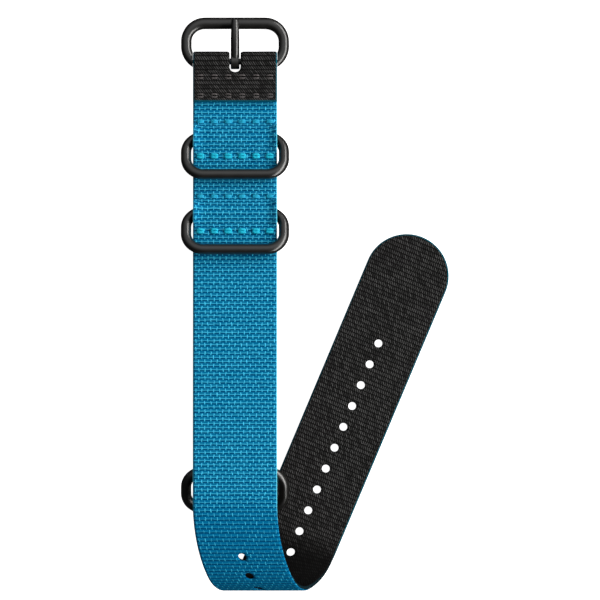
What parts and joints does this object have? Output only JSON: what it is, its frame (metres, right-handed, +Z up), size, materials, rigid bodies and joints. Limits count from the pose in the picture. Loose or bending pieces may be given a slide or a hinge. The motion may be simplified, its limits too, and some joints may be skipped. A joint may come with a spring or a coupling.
{
  "type": "zulu watch strap",
  "caption": "Blue and black woven watch strap with an oval pin buckle, oval keeper rings and a punched, round-tipped tail, laid flat with the tail folded back.",
  "frame": {"origin": "centre of the outer box on the surface that the strap lies on", "axes": "+Y along the front of the strap towards the buckle, +X across it towards the folded-back tail, +Z up from the surface"},
  "size_m": [0.07, 0.1498, 0.0193],
  "materials": {
    "main_webbing": "woven, blue on the outer face and black on the inner face",
    "keeper_webbing": "woven, blue on one face and black on the other",
    "dark_hardware": "black coated steel, semi-gloss",
    "black_thread": "black sewing thread",
    "blue_thread": "bright blue sewing thread"
  },
  "bodies": {
    "strap": {"main_strap": "main_webbing", "keeper_strap": "keeper_webbing", "tab_seam_1": "black_thread", "tab_seam_2": "black_thread", "pocket_seam_1": "blue_thread", "pocket_seam_2": "blue_thread", "pocket_seam_3": "blue_thread", "pocket_seam_4": "blue_thread", "loop_seam_1": "black_thread", "loop_seam_2": "black_thread"},
    "buckle": {"buckle_bow": "dark_hardware", "buckle_pin": "dark_hardware"},
    "tongue": {"buckle_tongue": "dark_hardware"},
    "upper_ring": {"keeper_ring_upper": "dark_hardware"},
    "lower_ring": {"keeper_ring_lower": "dark_hardware"},
    "last_ring": {"end_ring": "dark_hardware"}
  },
  "joints": [
    {"name": "buckle_swing", "type": "hinge", "parent": "strap", "child": "buckle", "pos_m": [-0.02088, 0.06339, 0.00296], "axis": [1, 0, 0], "range_deg": [-100, 15]},
    {"name": "tongue_swing", "type": "hinge", "parent": "buckle", "child": "tongue", "pos_m": [-0.02088, 0.06339, 0.00296], "axis": [1, 0, 0], "range_deg": [0, 90]},
    {"name": "upper_ring_swing", "type": "hinge", "parent": "strap", "child": "upper_ring", "pos_m": [-0.02088, 0.04371, 0.0037], "axis": [-1, 0, 0], "range_deg": [0, 120]},
    {"name": "lower_ring_swing", "type": "hinge", "parent": "strap", "child": "lower_ring", "pos_m": [-0.02088, 0.0241, 0.00646], "axis": [-1, 0, 0], "range_deg": [0, 120]},
    {"name": "end_ring_swing", "type": "hinge", "parent": "strap", "child": "last_ring", "pos_m": [-0.02088, -0.04381, 0.00839], "axis": [-1, 0, 0], "range_deg": [0, 70]}
  ]
}
